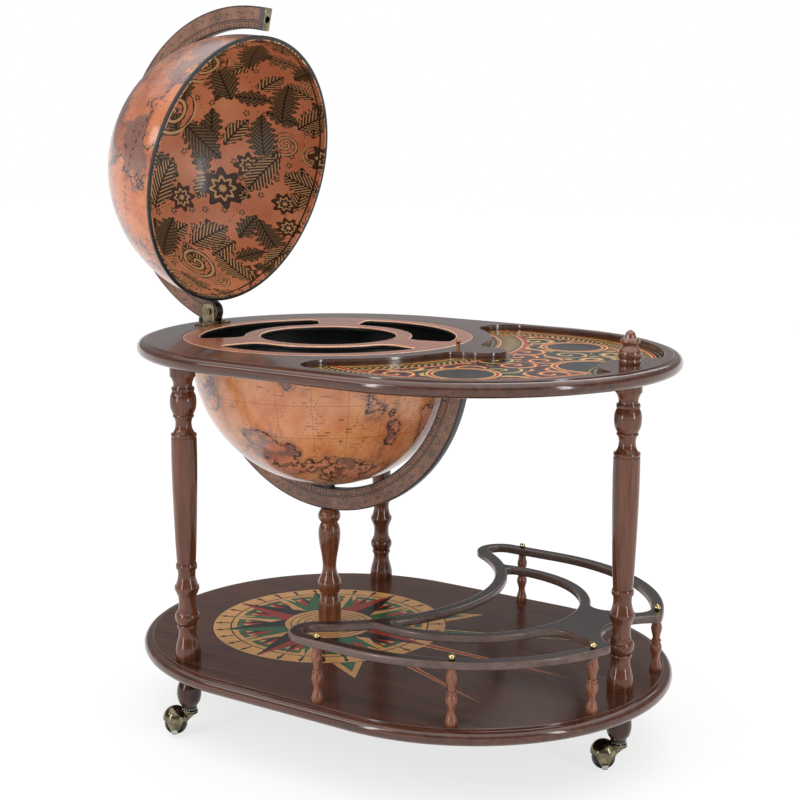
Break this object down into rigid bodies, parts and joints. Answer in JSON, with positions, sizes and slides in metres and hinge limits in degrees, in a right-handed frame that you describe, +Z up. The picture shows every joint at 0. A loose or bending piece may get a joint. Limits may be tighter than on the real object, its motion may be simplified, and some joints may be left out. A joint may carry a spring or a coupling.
{
  "type": "floor globe bar",
  "caption": "Floor globe bar with a hinged globe lid, bottle insert, long table, turned legs, gallery shelf and ball casters.",
  "frame": {"origin": "on the floor, under the middle of the bounding box with the lid open", "axes": "+Z up, +X from the globe to the right leg, +Y to the back"},
  "size_m": [1.0505, 0.656, 1.156],
  "materials": {
    "board_wood": "satin",
    "rail_wood": "satin",
    "turned_wood": "satin",
    "spindle_wood": "satin",
    "globe_print": "gloss",
    "lid_print": "satin",
    "black_liner": "matte",
    "ring_print": "satin",
    "dark_trim": "satin",
    "copper_insert": "gloss",
    "panel_print": "gloss",
    "stud_steel": "satin",
    "wheel_rubber": "matte",
    "axle_chrome": "polished",
    "antique_brass": "antique"
  },
  "bodies": {
    "stand": {"lower_shelf": "board_wood", "table_top": "board_wood", "serving_panel": "panel_print", "bottle_insert": "copper_insert", "bottle_floor": "black_liner", "leg_front_left": "turned_wood", "foot_front_left": "turned_wood", "leg_back_left": "turned_wood", "foot_back_left": "turned_wood", "leg_right": "turned_wood", "foot_right": "turned_wood", "leg_finial": "turned_wood", "centre_pillar": "turned_wood", "joint_studs": "stud_steel", "lower_bowl": "globe_print", "bowl_liner": "black_liner", "lower_meridian": "ring_print", "bowl_spacer": "dark_trim", "hinge_bracket_front": "antique_brass", "hinge_bracket_back": "antique_brass", "hinge_pin": "antique_brass", "hinge_screws": "antique_brass", "lid_bumper": "wheel_rubber", "catch_post": "antique_brass", "spindle_1": "spindle_wood", "spindle_2": "spindle_wood", "spindle_3": "spindle_wood", "spindle_4": "spindle_wood", "spindle_5": "spindle_wood", "spindle_6": "spindle_wood", "gallery_rail": "rail_wood", "rail_ball_nuts": "antique_brass", "caster_socket_front_left": "antique_brass", "caster_socket_back_left": "antique_brass", "caster_socket_right": "antique_brass"},
    "lid": {"lid_shell": "globe_print", "lid_liner": "lid_print", "lid_rim_trim": "dark_trim", "upper_meridian": "ring_print", "meridian_end_plate": "antique_brass", "lid_spacer": "dark_trim", "pole_pin": "antique_brass"},
    "caster_front_left": {"caster_hood_front_left": "antique_brass", "caster_axle_front_left": "axle_chrome"},
    "wheel_front_left": {"caster_wheel_front_left": "wheel_rubber"},
    "caster_back_left": {"caster_hood_back_left": "antique_brass", "caster_axle_back_left": "axle_chrome"},
    "wheel_back_left": {"caster_wheel_back_left": "wheel_rubber"},
    "caster_right": {"caster_hood_right": "antique_brass", "caster_axle_right": "axle_chrome"},
    "wheel_right": {"caster_wheel_right": "wheel_rubber"}
  },
  "joints": [
    {"name": "lid_hinge", "type": "hinge", "parent": "stand", "child": "lid", "pos_m": [-0.3263, 0, 0.644], "axis": [0, 1, 0], "range_deg": [0, 77.5]},
    {"name": "swivel_front_left", "type": "hinge", "parent": "stand", "child": "caster_front_left", "pos_m": [-0.15471, -0.268, 0.047], "axis": [0, 0, 1], "continuous": true},
    {"name": "spin_front_left", "type": "hinge", "parent": "caster_front_left", "child": "wheel_front_left", "pos_m": [-0.17273, -0.28062, 0.018], "axis": [0.5318, -0.7595, -0.3746], "continuous": true},
    {"name": "swivel_back_left", "type": "hinge", "parent": "stand", "child": "caster_back_left", "pos_m": [-0.15471, 0.268, 0.047], "axis": [0, 0, 1], "continuous": true},
    {"name": "spin_back_left", "type": "hinge", "parent": "caster_back_left", "child": "wheel_back_left", "pos_m": [-0.17273, 0.25538, 0.018], "axis": [0.5318, -0.7595, -0.3746], "continuous": true},
    {"name": "swivel_right", "type": "hinge", "parent": "stand", "child": "caster_right", "pos_m": [0.47129, 0, 0.047], "axis": [0, 0, 1], "continuous": true},
    {"name": "spin_right", "type": "hinge", "parent": "caster_right", "child": "wheel_right", "pos_m": [0.45327, -0.01262, 0.018], "axis": [0.5318, -0.7595, -0.3746], "continuous": true}
  ]
}
